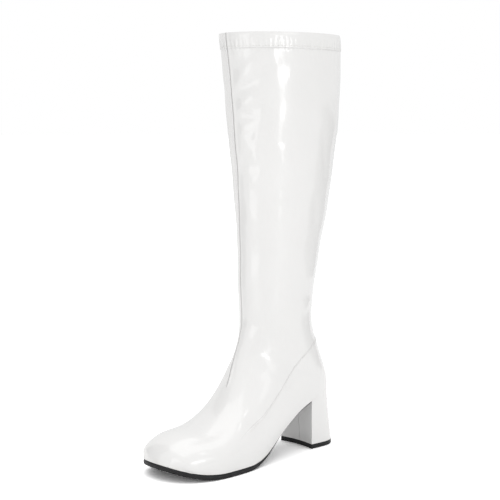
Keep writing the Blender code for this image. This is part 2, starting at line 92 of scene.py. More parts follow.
def meshPiece(name, bm, *materials):
    mesh = bpy.data.meshes.new(name)
    bm.to_mesh(mesh)
    bm.free()
    for material in materials:
        mesh.materials.append(material)
    piece = bpy.data.objects.new(name, mesh)
    bpy.context.scene.collection.objects.link(piece)
    return piece


def splitForCamera(tree, felt, seen, output):  # one shader for the camera's rays, another for the rest
    mix = tree.nodes.new("ShaderNodeMixShader")
    isCamera = tree.nodes.new("ShaderNodeLightPath").outputs["Is Camera Ray"]
    tree.links.new(isCamera, mix.inputs["Fac"])
    tree.links.new(felt.outputs[0], mix.inputs[1])
    tree.links.new(seen.outputs[0], mix.inputs[2])
    tree.links.new(mix.outputs[0], tree.nodes[output].inputs["Surface"])


def makeFloor():
    bm = bmesh.new()
    bmesh.ops.create_grid(bm, x_segments=1, y_segments=1, size=stage["floorSize"] / 2)
    paper, tree, shader = newMaterial("floorPaper")
    seen = tree.nodes.new("ShaderNodeBsdfDiffuse")
    felt = tree.nodes.new("ShaderNodeBsdfDiffuse")
    seen.inputs["Color"].default_value = (*[stage["floorSeen"]] * 3, 1)
    felt.inputs["Color"].default_value = (*[stage["floorWhite"]] * 3, 1)
    splitForCamera(tree, felt, seen, "Material Output")
    tree.nodes.remove(shader)
    meshPiece("floor", bm, paper)


def makeSurround():
    world = bpy.data.worlds.new("surround")
    world.use_nodes = True
    tree = world.node_tree
    back = tree.nodes["Background"]
    back.inputs["Color"].default_value = (1, 1, 1, 1)
    back.inputs["Strength"].default_value = stage["surround"]
    paper = tree.nodes.new("ShaderNodeBackground")         # seen behind the floor's edge
    paper.inputs["Color"].default_value = (1, 1, 1, 1)
    splitForCamera(tree, back, paper, "World Output")
    bpy.context.scene.world = world


# softboxes, by their turn round the boot from the front; the first four make the shaft's streak
softboxes = [
    # turn, distance, height, width, tallness, radiance
    (83.0, 1.20, 0.370, 0.48, 0.11, 3.8),
    (81.5, 1.20, 0.285, 0.36, 0.06, 4.0),
    (80.0, 1.20, 0.235, 0.22, 0.04, 3.4),
    (80.0, 1.20, 0.120, 0.14, 0.18, 1.35),
    (102.0, 1.60, 1.75, 0.30, 0.42, 2.2),
    (97.0, 1.90, 0.75, 0.80, 0.30, 1.0),
    (8.0, 1.20, 0.200, 0.60, 0.50, 1.10),
    (0.0, 0.10, 3.20, 3.60, 3.60, 0.88),
]

# flags: grey cards on the floor that only reflections see
flags = [
    # turn, distance, width, height, grey
    (-52.0, 0.85, 0.62, 1.20, 0.22),
    (162.0, 0.85, 0.60, 0.32, 0.38),
]


def roundBoot(turn, distance, height):
    turn = radians(turn)
    return Vector((*stage["aim"], height)) + Vector((sin(turn), -cos(turn), 0)) * distance


def makeSoftbox(number, turn, distance, height, width, tallness, radiance):
    data = bpy.data.lights.new("softbox" + str(number), "AREA")
    data.shape = "RECTANGLE"
    data.size, data.size_y = width, tallness
    data.energy = radiance * width * tallness * pi          # watts that give this radiance
    light = bpy.data.objects.new(data.name, data)
    bpy.context.scene.collection.objects.link(light)
    light.location = roundBoot(turn, distance, height)
    towards = roundBoot(turn, 0, stage["lightsAim"]) - light.location
    light.rotation_euler = towards.to_track_quat("-Z", "Y").to_euler()
    light.visible_camera = False


def makeFlag(number, turn, distance, width, height, grey):
    bm = bmesh.new()
    middle = Matrix.Translation(roundBoot(turn, distance, height / 2))
    turned = Matrix.Rotation(radians(turn), 4, "Z")
    upright = Matrix.Diagonal((width, 1, height, 1)) @ Matrix.Rotation(pi / 2, 4, "X")
    bmesh.ops.create_grid(bm, x_segments=1, y_segments=1, size=0.5, matrix=middle @ turned @ upright)
    cloth, tree, shader = newMaterial("flagCloth" + str(number))
    shader.inputs["Base Color"].default_value = (0, 0, 0, 1)
    shader.inputs["Specular IOR Level"].default_value = 0
    shader.inputs["Emission Color"].default_value = (grey, grey, grey, 1)
    shader.inputs["Emission Strength"].default_value = 1
    flag = meshPiece("flag" + str(number), bm, cloth)
    flag.visible_camera = flag.visible_diffuse = flag.visible_shadow = False


makeCamera()
makeFloor()
makeSurround()
for number, softbox in enumerate(softboxes):
    makeSoftbox(number, *softbox)
for number, flag in enumerate(flags):
    makeFlag(number, *flag)
bpy.context.scene.view_settings.view_transform = "Standard"
print("stage set")


# node helpers
def addNode(tree, kind, settings=(), **inputs):
    node = tree.nodes.new(kind)
    for name, value in dict(settings).items():
        setattr(node, name, value)
    for name, value in inputs.items():
        wire(tree, value, node.inputs[name])
    return node


def wire(tree, value, socket):
    if isinstance(value, bpy.types.NodeSocket):
        tree.links.new(value, socket)
    else:
        socket.default_value = value


def objectPlace(tree):
    return addNode(tree, "ShaderNodeTexCoord").outputs["Object"]


def noise(tree, place, scale, detail):
    return addNode(tree, "ShaderNodeTexNoise", Vector=place, Scale=scale, Detail=detail).outputs["Fac"]


def remap(tree, value, low, high, start=0.0, end=1.0, soft=True):
    kind = "SMOOTHSTEP" if soft else "LINEAR"
    node = addNode(tree, "ShaderNodeMapRange", {"interpolation_type": kind}, Value=value)
    for name, number in (("From Min", low), ("From Max", high), ("To Min", start), ("To Max", end)):
        node.inputs[name].default_value = number
    return node.outputs["Result"]


def combine(tree, operation, first, second=None):
    node = addNode(tree, "ShaderNodeMath", {"operation": operation})
    wire(tree, first, node.inputs[0])
    if second is not None:
        wire(tree, second, node.inputs[1])
    return node.outputs[0]


def blendColours(tree, share, first, second):
    node = addNode(tree, "ShaderNodeMix", {"data_type": "RGBA"})
    for index, value in ((0, share), (6, first), (7, second)):
        wire(tree, value, node.inputs[index])
    return node.outputs[2]


def attribute(tree, name):
    return addNode(tree, "ShaderNodeAttribute", {"attribute_name": name}).outputs["Fac"]


def split(tree, place):
    return addNode(tree, "ShaderNodeSeparateXYZ", Vector=place).outputs


def bumped(tree, layers, normal=None):       # each layer's height and its depth in metres
    for height, depth in layers:
        node = addNode(tree, "ShaderNodeBump", Height=height, Distance=depth)
        if normal:
            tree.links.new(normal, node.inputs["Normal"])
        normal = node.outputs["Normal"]
    return normal


# patent sheet: white, with a clear gloss coat over a softer base
patent = {
    "white": (0.805, 0.800, 0.792, 1),
    "shade": (0.775, 0.770, 0.761, 1),
    "line": (0.42, 0.41, 0.40, 1),       # in the bottom of a seam
    "scuff": (0.74, 0.725, 0.70, 1),     # along the feather edge
    "roughness": (0.29, 0.35),
    "roughScale": 12,
    "cloudScale": 11,
    "coatRoughness": 0.08,
    "peelScale": 900,
    "peelDepth": 0.000012,
    "waveScale": 42,
    "waveDepth": 0.00022,
}


def patentMaterial(name, linesOf=None):
    material, tree, shader = newMaterial(name)
    place = objectPlace(tree)
    cloud = remap(tree, noise(tree, place, patent["cloudScale"], 3), 0.2, 0.8, soft=False)
    colour = blendColours(tree, cloud, patent["shade"], patent["white"])
    layers = [(noise(tree, place, patent["waveScale"], 1), patent["waveDepth"])]
    if linesOf:
        mask, lineLayers, wear = linesOf(tree, place)
        colour = blendColours(tree, wear, colour, patent["scuff"])
        colour = blendColours(tree, mask, colour, patent["line"])
        layers += lineLayers
    tree.links.new(colour, shader.inputs["Base Color"])
    coatNormal = bumped(tree, layers)
    tree.links.new(coatNormal, shader.inputs["Coat Normal"])
    peel = noise(tree, place, patent["peelScale"], 1)
    baseNormal = bumped(tree, [(peel, patent["peelDepth"])], coatNormal)
    tree.links.new(baseNormal, shader.inputs["Normal"])
    rough = noise(tree, place, patent["roughScale"], 1)
    rough = remap(tree, rough, 0.2, 0.8, *patent["roughness"], soft=False)
    tree.links.new(rough, shader.inputs["Roughness"])
    shader.inputs["Coat Weight"].default_value = 1
    shader.inputs["Coat Roughness"].default_value = patent["coatRoughness"]
    return material


print("helpers ready")

# upper: one sheet round the boot, cast on the CAD wall from inside
upper = {
    "wall": 0.0016,
    "rimRound": 0.00055,
    "collarRings": (0.0002, 0.0012, 0.0025),      # depths of the first rings under the collar
    "hemSpan": (0.004, 0.0022),                   # from this depth to this height over the hem's edge
    "hemSpanRings": 6,
    "hemEdgeRings": (0.0012, 0.0005, 0.0001, -0.0003, -0.0008),   # heights over the hem's edge
    "firmRings": 16,          # first rings, which aren't smoothed
    "footRows": 12,           # last closed rings that reach near the feather edge
    "columns": 176,           # round the boot
    "rowStep": 0.0026,        # between rings of the shaft
    "hemDepth": 0.016,
    "hemStep": 0.0007,
    "hemEase": 0.0005,        # height of the step
    "hemCalm": 0.6,           # share of the waves that the hem lacks
    "foldHeight": 0.0035,     # of the hem's soft roundness under the collar
    "foldRise": 0.0003,
    "foldEnd": 0.009,         # depth under the collar
    "foldFade": 0.006,
    "waveStart": 0.105,       # height where the shaft's waves begin
    "waveFade": 0.05,
    "liningTop": 0.013,       # the patent turns in this far over the collar
    "seamShoulder": 0.0018,   # from the front seam's line to its shoulders' tops
    "shoulderWidth": 0.0013,
    "seamRise": 0.0006,
    "seamGroove": 0.0009,
    "grooveWidth": 0.0007,
    "seamEnd": 0.0735,        # height where the front seam ends
    "lineFade": (0.004, 0.006),   # the drawn line ends from this height over it, within this one
    "seamAway": 0.01,         # a distance to the seam at which nothing of it is drawn
    "seamFade": 0.012,
    "creaseFade": 0.35,       # share of a crease's length
    "quarterStep": 0.0006,
    "quarterEnd": -0.140,     # y where the quarter seam is gone
    "quarterFade": 0.022,
    "quarterRun": 0.0026,     # width of the step in the mesh; the material sharpens it
    "ankleLow": 0.168,        # the back's height where the rings start to lean
    "seatHigh": 0.0626,       # the back's height where they reach the seat
    "seatPlaces": (0.010, 0.0159, 0.0230, 0.0316),   # shares of the foot of the first open rings
    "seatBlends": 4,          # rings between the last closed and the first open one
    "featherLevel": 0.003,    # the wall stands upright at its lower edge, up to this height
    "tipStart": 0.855,        # share of the foot where the rings of the toe's tip begin
    "tipRings": 26,
    "footCrowding": 1.1,      # more rings along the foot than along the shaft
    "rays": 130,              # cast for half a ring
    "rayGap": 0.0008,         # from the wall to where a ray starts
    "openMiddle": 0.42,       # share of an open ring's height where its rays start
    "featherInset": 0.004,    # the insole is measured this far within its ends
    "featherRun": 0.010,      # and its slope over this run
    "edgeLift": 0.0013,       # rays to the feather edge run this far over it
    "edgeReach": 0.06,        # toward the toe, for a first guess of that edge
    "endLift": 0.0006,        # the foot's ends are measured this far over the feather edge
    "fineColumns": (0.0048, 0.0038, 0.0030, 0.0024, 0.0018, 0.0012, 0.0006, 0.0),  # from the seam
}

# sections of the foot
footRings = [
    # share of the foot's length from the heel's back, degrees that the section leans forward
    (0.000, 55.5),
    (0.032, 61.5),
    (0.110, 60.3),
    (0.240, 54.0),
    (0.380, 43.0),
    (0.510, 29.0),
    (0.620, 16.0),
    (0.715, 7.0),
    (0.795, 2.0),
    (0.860, 4.0),
    (0.900, 18.0),
    (0.922, 45.0),
    (0.930, 90.0),
]

# front seam: how far its line lies to the outer side of the boot's middle
seamLine = [
    # height, aside
    (0.070, 0.0010),
    (0.078, 0.0010),
    (0.087, -0.0005),
    (0.097, -0.0030),
    (0.108, -0.0046),
    (0.130, -0.0056),
    (0.200, -0.0060),
    (0.237, -0.0056),
    (0.266, -0.0044),
    (0.300, -0.0034),
    (0.345, -0.0033),
    (0.436, -0.0035),
]

# quarter seam: share of the foot's length from the heel's middle, height over the feather edge
quarterLine = [
    # along, height
    (-0.100, 0.0623),
    (0.040, 0.0626),
    (0.150, 0.0619),
    (0.260, 0.0561),
    (0.340, 0.0512),
    (0.430, 0.0451),
    (0.510, 0.0415),
    (0.600, 0.0360),
    (0.680, 0.0263),
    (0.740, 0.0111),
    (0.780, -0.0083),
]
footLength, heelMiddle = 0.229, 0.0151

# creases of the shaft; turn: degrees round from the front to the outer side
creases = [
    # turn, height, turn, height, width, rise
    (4, 0.385, 31, 0.4175, 0.0058, 0.0014),
    (3, 0.3765, 26, 0.390, 0.0042, -0.0011),
    (2, 0.361, 27, 0.376, 0.0048, 0.0014),
    (4, 0.3550, 22, 0.3505, 0.0048, -0.0011),
    (4, 0.3375, 16, 0.3435, 0.0038, 0.0006),
    (29, 0.366, 25, 0.344, 0.0028, 0.0007),
    (25, 0.344, 18, 0.3235, 0.0028, 0.0008),
    (18, 0.3235, 19, 0.305, 0.0028, 0.0006),
    (19, 0.348, 12, 0.326, 0.0050, -0.0007),
    (10, 0.322, 5, 0.290, 0.0045, -0.0006),
    (15, 0.309, 17, 0.292, 0.0040, -0.0006),
    (24, 0.300, 15, 0.280, 0.0045, 0.0004),
    (8, 0.272, 14, 0.240, 0.0060, 0.0004),
    (46, 0.330, 52, 0.294, 0.0055, 0.0005),
    (40, 0.275, 54, 0.268, 0.0050, 0.0004),
    (104, 0.350, 126, 0.276, 0.0060, -0.0005),
    (106, 0.280, 112, 0.228, 0.0060, -0.0004),
    (-14, 0.404, -30, 0.384, 0.0060, 0.0005),
    (-60, 0.372, -86, 0.352, 0.0060, 0.0006),
    (-58, 0.336, -80, 0.318, 0.0060, -0.0005),
    (150, 0.190, 215, 0.176, 0.0070, 0.0008),
    (140, 0.168, 222, 0.158, 0.0070, 0.0009),
    (150, 0.146, 212, 0.139, 0.0060, 0.0006),
    (96, 0.152, 136, 0.161, 0.0060, 0.0005),
    (-96, 0.155, -136, 0.163, 0.0060, 0.0005),
    (-100, 0.330, -120, 0.270, 0.0065, -0.0005),
]

# creases of the foot, from one point of the outside to another
footCreases = [
    # x, y, z, x, y, z, width, rise
    (0.030, -0.114, 0.0600, 0.036, -0.138, 0.0440, 0.0050, 0.0006),
    (0.026, -0.128, 0.0590, 0.041, -0.104, 0.0350, 0.0060, -0.0005),
    (0.036, -0.106, 0.0560, 0.038, -0.098, 0.0420, 0.0050, 0.0005),
    (0.034, -0.075, 0.0790, 0.033, -0.068, 0.0670, 0.0045, 0.0006),
    (-0.030, -0.112, 0.0600, -0.036, -0.134, 0.0440, 0.0055, 0.0005),
    (0.014, -0.108, 0.0930, 0.030, -0.082, 0.0960, 0.0070, 0.0006),
    (-0.014, -0.108, 0.0930, -0.030, -0.082, 0.0960, 0.0070, 0.0006),
]


def pairTriangles(bm):
    bmesh.ops.join_triangles(bm, faces=bm.faces, angle_face_threshold=radians(25),
                             angle_shape_threshold=radians(60))


def wallTree(name, levels):        # a node's mesh as quads, subdivided, to cast rays at
    bm = bmesh.new()
    bm.from_mesh(nodes[name].data)
    bmesh.ops.remove_doubles(bm, verts=bm.verts, dist=1e-5)
    pairTriangles(bm)
    crease = bm.edges.layers.float.new("crease_edge")
    for edge in bm.edges:
        if edge.calc_face_angle(0) > radians(50):
            edge[crease] = 1
    cage = meshPiece(name + "Cage", bm)
    if levels:
        modifier = cage.modifiers.new("smooth", "SUBSURF")
        modifier.levels = modifier.render_levels = levels
    bpy.context.view_layer.update()
    tree = BVHTree.FromObject(cage, bpy.context.evaluated_depsgraph_get())
    bpy.data.objects.remove(cage)
    return tree


upperWall = wallTree("upper", 2)
insoleTree = wallTree("insole", 0)
insoleLow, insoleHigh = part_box("insole")
upperLow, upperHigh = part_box("upper")
hemEdge = upperHigh.z - upper["hemDepth"]
forward, sideways, upward = Vector((0, -1, 0)), Vector((1, 0, 0)), Vector((0, 0, 1))


def insoleUnder(y):
    return insoleTree.ray_cast(Vector((0, y, -1)), upward)[0].z


def featherHeight(y):              # the upper's lower edge: the insole's underside, carried on past it
    back, front = insoleHigh.y - upper["featherInset"], insoleLow.y + upper["featherInset"]
    height = insoleUnder(min(max(y, front), back))
    if y >= front:
        return height
    run = upper["featherRun"]
    return height + (height - insoleUnder(front + run)) / run * (front - y)


def crossings(start, direction):   # every wall that a ray meets, in order
    found, place = [], start
    while True:
        hit = upperWall.ray_cast(place, direction)[0]
        if hit is None:
            return found
        found.append(hit)
        place = hit + direction * 1e-5


def cast(start, direction):
    return upperWall.ray_cast(start, direction)[0]


def ringHeights():                 # of the closed rings, at the back
    top = upperHigh.z
    depth, side = upper["hemSpan"]
    ankle, seat, step = upper["ankleLow"], upper["seatHigh"], upper["rowStep"]
    heights = [top - depth for depth in upper["collarRings"]]
    heights += list(np.linspace(top - depth, hemEdge + side, upper["hemSpanRings"]))
    heights += [hemEdge + height for height in upper["hemEdgeRings"]]
    heights += list(np.linspace(hemEdge - side, ankle, int((hemEdge - side - ankle) / step)))
    return heights + list(np.linspace(ankle, seat, int((ankle - seat) / step) + 1))[1:]


def ringCentres():                 # low point and direction of each section, and whether it is closed
    rings = []
    heel = crossings(Vector((0, 1, featherHeight(1) + upper["endLift"])), forward)[1].y
    toe = crossings(Vector((0, -1, featherHeight(upperLow.y) + upper["endLift"])), -forward)[1].y
    for z in ringHeights():
        back = crossings(Vector((0, 1, z)), forward)[1]
        down = max(0, (upper["ankleLow"] - z) / (upper["ankleLow"] - upper["seatHigh"]))
        lean = radians(90 + (footRings[0][1] - 90) * down)
        rings.append((back, Vector((0, -sin(lean), cos(lean))), True))
    places, leans = zip(*footRings)
    seat = upper["seatPlaces"]
    tip = upper["tipStart"]
    count = int((heel - toe) * (tip - seat[-1]) / upper["rowStep"] * upper["footCrowding"])
    foot = np.linspace(seat[-1], tip, count)[1:-1]
    for place in [*seat, *foot, *np.linspace(tip, places[-1], upper["tipRings"])]:
        lean = radians(float(np.interp(place, places, leans)))
        y = heel + (toe - heel) * place
        rings.append((Vector((0, y, featherHeight(y))), Vector((0, -sin(lean), cos(lean))), False))
    return rings


def edgePoint(middle, direction):  # where the feather edge lies in a direction
    flat = Vector((direction.x, direction.y, 0)).normalized()
    place = Vector((middle.x, max(upperLow.y, middle.y + min(flat.y, 0) * upper["edgeReach"]), 0))
    for again in range(4):
        start = Vector((middle.x, middle.y, featherHeight(place.y) + upper["edgeLift"]))
        place = cast(start, flat) or place
    return Vector((place.x, place.y, featherHeight(place.y)))


def halfLine(low, lean, closed, side):
    # points of one half of a ring, from the low middle or the feather edge up to the front line
    across, gap = sideways * side, upper["rayGap"]
    last = not closed and lean.z < 0.01
    if last:
        middle, start = low, pi / 2
    elif closed:
        top = cast(low + lean * gap, lean)
        middle, start = (low + top) / 2, pi
    else:
        top = cast(low + lean * gap + upward * gap, lean)
        middle = low + (top - low) * upper["openMiddle"]
        edge = edgePoint(low, across)
        start = atan2((edge - middle).dot(across), (edge - middle).dot(lean))
    points = [] if closed else [edgePoint(low, across)]
    for angle in np.linspace(start, 0, upper["rays"])[len(points):]:
        direction = across * sin(angle) + lean * cos(angle)
        points.append((None if last else cast(middle, direction)) or edgePoint(middle, direction))
    return np.array(points)


def stepLengths(points):
    return np.concatenate([[0], np.cumsum(np.linalg.norm(np.diff(points, axis=0), axis=1))])


def spread(outer, inner):          # the ring's points at even steps, finer beside the front seam
    line = np.concatenate([inner, outer[-2::-1]])
    lengths = stepLengths(line)
    front = lengths[len(inner) - 1]
    heights, asides = zip(*seamLine)
    seam = front + float(np.interp(inner[-1][2], heights, asides))
    fine = np.array(upper["fineColumns"])
    evens = upper["columns"] // 2 - len(fine) + 2
    outerAt = np.concatenate([np.linspace(lengths[-1], seam + fine[0], evens)[:-1], seam + fine])
    innerAt = np.concatenate([seam - fine[::-1], np.linspace(seam - fine[0], 0, evens)[1:]])
    at = np.concatenate([outerAt, innerAt[1:]])
    return np.stack([np.interp(at, lengths, line[:, k]) for k in range(3)], 1), at - seam


def onWall(points):                # taken to the wall's inside from a little within it
    found = [upperWall.find_nearest(Vector(point))[0] for point in points]
    for end in (0, -1):
        found[end].z = featherHeight(found[end].y)
    return np.array(found)


def castSheet():                   # a row of points for each ring, from the back over the outer side
    rows, around, kinds = [], [], []     # kinds: whether each ring is closed underneath
    for low, lean, closed in ringCentres():
        points, along = spread(halfLine(low, lean, closed, 1), halfLine(low, lean, closed, -1))
        if rows and not closed and kinds[-1]:
            lastPoints, lastAlong = rows[-1], around[-1]
            for end in (0, -1):
                lastPoints[end, 2] = featherHeight(lastPoints[end, 1])
            for share in np.linspace(0, 1, upper["seatBlends"] + 2)[1:-1]:
                rows.append(onWall(lastPoints + (points - lastPoints) * share))
                around.append(lastAlong + (along - lastAlong) * share)
                kinds.append(False)
        rows.append(points)
        around.append(along)
        kinds.append(closed)
    return np.array(rows), np.array(around), kinds.count(True)


def ease(value):                   # 0 below 0, 1 above 1, smooth between
    value = np.clip(value, 0, 1)
    return value * value * (3 - 2 * value)


sheet, around, closedRows = castSheet()
rowCount, columnCount = sheet.shape[:2]
print("upper:", rowCount, "rings of", columnCount, "points")


def sheetMesh(points):             # a flat grid whose points are taken to their places round the boot
    bm = bmesh.new()
    row, column = (bm.verts.layers.int.new(name) for name in ("row", "column"))
    bmesh.ops.create_grid(bm, x_segments=columnCount - 1, y_segments=rowCount - 1, size=0.5)
    for vert in bm.verts:
        vert[column] = int((vert.co.x + 0.5) * (columnCount - 1) + 0.5)
        vert[row] = int((0.5 - vert.co.y) * (rowCount - 1) + 0.5)
        vert.co = points[vert[row], vert[column]]
    bmesh.ops.remove_doubles(bm, verts=[v for v in bm.verts if v.is_boundary], dist=1e-6)
    inside = [v for v in bm.verts if not v.is_boundary and v[row] > upper["firmRings"]]
    axes = {"use_axis_x": True, "use_axis_y": True, "use_axis_z": True}
    for again in range(2):
        bmesh.ops.smooth_vert(bm, verts=inside, factor=0.5, **axes)
    bmesh.ops.recalc_face_normals(bm, faces=bm.faces)
    bm.normal_update()
    return bm


def nearSegment(points, start, end):          # distance to a line, and the share along it
    start, end = np.array(start), np.array(end)
    line = end - start
    share = np.clip(((points - start) @ line) / (line @ line), 0, 1)
    return np.linalg.norm(points - start - share[..., None] * line, axis=-1), share


def fold(distance, share, width, rise):       # a soft ridge or trough that fades at its ends
    ends = ease(share / upper["creaseFade"]) * ease((1 - share) / upper["creaseFade"])
    away = (distance / width) ** 2
    return rise * ends * (1 - 0.5 * away) * np.exp(-away / 2)


def shaftAngles():                 # degrees round the shaft from the front, and the radius there
    middle = (sheet[:, 0] + sheet[:, columnCount // 2]) / 2
    across, along = sheet[..., 0], middle[:, None, 1] - sheet[..., 1]
    return np.degrees(np.arctan2(across, along)), np.hypot(across, along)


def quarterGaps():                 # distance from the quarter seam, seen from the side; negative behind
    run, heights = zip(*quarterLine)
    fine = np.linspace(run[0], run[-1], 60)
    heights = np.interp(fine, run, heights)
    ys = heelMiddle - fine * footLength
    path = np.stack([ys, [featherHeight(y) + h for y, h in zip(ys, heights)]], 1)
    for again in range(6):
        path[1:-1] = (path[:-2] + 2 * path[1:-1] + path[2:]) / 4
    side = sheet[..., 1:]
    gaps = np.min([nearSegment(side, a, b)[0] for a, b in zip(path, path[1:])], axis=0)
    above = side[..., 1] > np.interp(-side[..., 0], -path[:, 0], path[:, 1])
    past = side[..., 0] < path[-1, 0]
    return np.where(above | past, gaps, -gaps), path


# waves of the shaft
waves = [
    # depth, height of a radian, lean for each radian of turn, start
    (0.00022, 0.0125, 2.2, 0.0),
    (0.00016, 0.0074, -3.1, 1.3),
    (0.00022, 0.031, -5.0, 0.4),
]

# puckers under the hem, by their distance under it
puckers = {
    "place": 0.004,
    "reach": 0.009,
    "depth": 0.00020,
    "pitch": 0.0017,
    "sway": 1.6,
    "swayPitch": 0.011,
    "calm": 0.35,             # depth left between the strong places
    "strongTurns": 2.3,
    "strongStart": 0.6,
}

angles, radii = shaftAngles()
quarterGap, quarterPath = quarterGaps()
seamGap = np.abs(around)
quarterShare = ease((sheet[..., 1] - upper["quarterEnd"]) / upper["quarterFade"])


def relief():                      # how far the outside stands out from the sheet's plain form
    z = sheet[..., 2]
    below = upperHigh.z - z
    isHem = ease((z - hemEdge) / upper["hemEase"] + 0.3)
    hem = isHem * (upper["hemStep"] + upper["foldRise"] * ease(below / upper["foldHeight"]))
    hem -= upper["foldRise"] * isHem * ease((below - upper["foldEnd"]) / upper["foldFade"])
    shaft = ease((z - upper["waveStart"]) / upper["waveFade"])
    turn = np.radians(angles)
    wave = sum(depth * np.sin(z / step + lean * turn + start) for depth, step, lean, start in waves)
    total = hem + wave * shaft * (1 - upper["hemCalm"] * isHem)
    strong = np.sin(turn * puckers["strongTurns"] + puckers["strongStart"]) ** 2
    pucker = np.exp(-((z - hemEdge + puckers["place"]) / puckers["reach"]) ** 2)
    pucker *= puckers["calm"] + (1 - puckers["calm"]) * strong
    sway = puckers["sway"] * np.sin(around / puckers["swayPitch"])
    total += puckers["depth"] * pucker * np.sin(around / puckers["pitch"] + sway)
    for startTurn, startHeight, endTurn, endHeight, width, rise in creases:
        if max(startTurn, endTurn) > 180:
            angle = np.where(angles < 0, angles + 360, angles)
            flat = np.stack([np.radians(angle) * radii, z], -1)
        else:
            flat = np.stack([turn * radii, z], -1)
        row = np.argmin(np.abs(sheet[:closedRows, 0, 2] - (startHeight + endHeight) / 2))
        radius = float(np.interp((startTurn + endTurn) / 2, angles[row, ::-1], radii[row, ::-1]))
        start, end = radians(startTurn) * radius, radians(endTurn) * radius
        total += fold(*nearSegment(flat, (start, startHeight), (end, endHeight)), width, rise)
    for crease in footCreases:
        total += fold(*nearSegment(sheet, crease[:3], crease[3:6]), *crease[6:])
    fade = ease((z - upper["seamEnd"]) / upper["seamFade"])
    shoulder = np.exp(-((seamGap - upper["seamShoulder"]) / upper["shoulderWidth"]) ** 2)
    groove = np.exp(-(seamGap / upper["grooveWidth"]) ** 2)
    total += fade * (upper["seamRise"] * shoulder - upper["seamGroove"] * groove)
    total += upper["quarterStep"] * quarterShare * ease(0.5 - quarterGap / upper["quarterRun"])
    return total


# what the upper's material draws: dark in the seams, sharper steps, wear over the feather edge
lines = {
    "seamHalf": (0.0002, 0.0008),     # from full dark to none, off the line's middle
    "seamDark": 0.16,
    "quarterHalf": (0.0001, 0.0006),
    "quarterAside": 0.0003,
    "quarterDark": 0.32,
    "hemHalf": (0.0001, 0.0005),
    "hemAside": 0.0002,
    "hemDark": 0.25,
    "puckerScale": 66,
    "puckerDepth": 0.00022,
    "puckerHalf": (0.003, 0.008),
    "stepHalf": 0.0004,
    "stepDepth": 0.00035,
    "grooveHalf": (0.0001, 0.0009),
    "grooveDepth": 0.0006,
    "wearHigh": (0.0005, 0.006),
    "wearMost": 0.6,
    "wearScale": 55,
}


def offFrom(tree, value, middle):
    return combine(tree, "ABSOLUTE", combine(tree, "SUBTRACT", value, middle))


def upperLines(tree, place):
    height = split(tree, place)["Z"]
    seam = attribute(tree, "fromSeam")
    quarter = attribute(tree, "fromQuarter")
    feather = attribute(tree, "overFeather")
    share = attribute(tree, "quarterShare")
    seamMask = remap(tree, seam, *lines["seamHalf"], lines["seamDark"], 0)
    quarterMask = offFrom(tree, quarter, lines["quarterAside"])
    quarterMask = remap(tree, quarterMask, *lines["quarterHalf"], lines["quarterDark"], 0)
    quarterMask = combine(tree, "MULTIPLY", quarterMask, share)
    hemMask = offFrom(tree, height, hemEdge - lines["hemAside"])
    hemMask = remap(tree, hemMask, *lines["hemHalf"], lines["hemDark"], 0)
    mask = combine(tree, "MAXIMUM", seamMask, combine(tree, "MAXIMUM", quarterMask, hemMask))
    along = addNode(tree, "ShaderNodeCombineXYZ", X=seam, Y=height).outputs[0]
    pucker = addNode(tree, "ShaderNodeTexWave", {"bands_direction": "X"}, Vector=along,
                     Scale=lines["puckerScale"], Distortion=2.5, Detail=1).outputs["Fac"]
    nearHem = offFrom(tree, height, hemEdge + puckers["place"])
    pucker = combine(tree, "MULTIPLY", pucker, remap(tree, nearHem, *lines["puckerHalf"], 1, 0))
    step = remap(tree, quarter, -lines["stepHalf"], lines["stepHalf"], 1, 0)
    step = combine(tree, "MULTIPLY", step, share)
    groove = remap(tree, seam, *lines["grooveHalf"])
    depths = lines["puckerDepth"], lines["stepDepth"], lines["grooveDepth"]
    low = remap(tree, feather, *lines["wearHigh"], lines["wearMost"], 0)
    scuffed = remap(tree, noise(tree, place, lines["wearScale"], 4), 0.42, 0.68)
    return mask, list(zip((pucker, step, groove), depths)), combine(tree, "MULTIPLY", low, scuffed)


# lining: a light knit
lining = {
    "light": (0.80, 0.78, 0.74, 1),
    "dark": (0.70, 0.68, 0.64, 1),
    "rib": 0.0011,             # pitch of the knit
    "depth": 0.00012,
    "roughness": 0.85,
    "sheen": 0.25,
    "cloudScale": 18,
}


def waveScale(pitch):              # scale of a wave texture with this pitch
    return 2 * pi / 20 / pitch


def bands(tree, place, direction, scale, distortion):
    node = addNode(tree, "ShaderNodeTexWave", {"bands_direction": direction}, Vector=place)
    node.inputs["Scale"].default_value = scale
    node.inputs["Distortion"].default_value = distortion
    return node.outputs["Fac"]


def liningMaterial():
    material, tree, shader = newMaterial("knitLining")
    place = objectPlace(tree)
    scale = waveScale(lining["rib"])
    upright = bands(tree, place, "DIAGONAL", scale, 1.5)
    level = bands(tree, place, "Z", scale * 1.3, 1.0)
    knit = combine(tree, "MULTIPLY", upright, level)
    cloud = remap(tree, noise(tree, place, lining["cloudScale"], 4), 0.3, 0.7)
    colour = blendColours(tree, cloud, lining["dark"], lining["light"])
    colour = blendColours(tree, remap(tree, knit, 0.0, 0.6, 0.35, 0.0), colour, lining["dark"])
    tree.links.new(colour, shader.inputs["Base Color"])
    tree.links.new(bumped(tree, [(knit, lining["depth"])]), shader.inputs["Normal"])
    shader.inputs["Roughness"].default_value = lining["roughness"]
    shader.inputs["Sheen Weight"].default_value = lining["sheen"]
    shader.inputs["Specular IOR Level"].default_value = 0.25
    return material


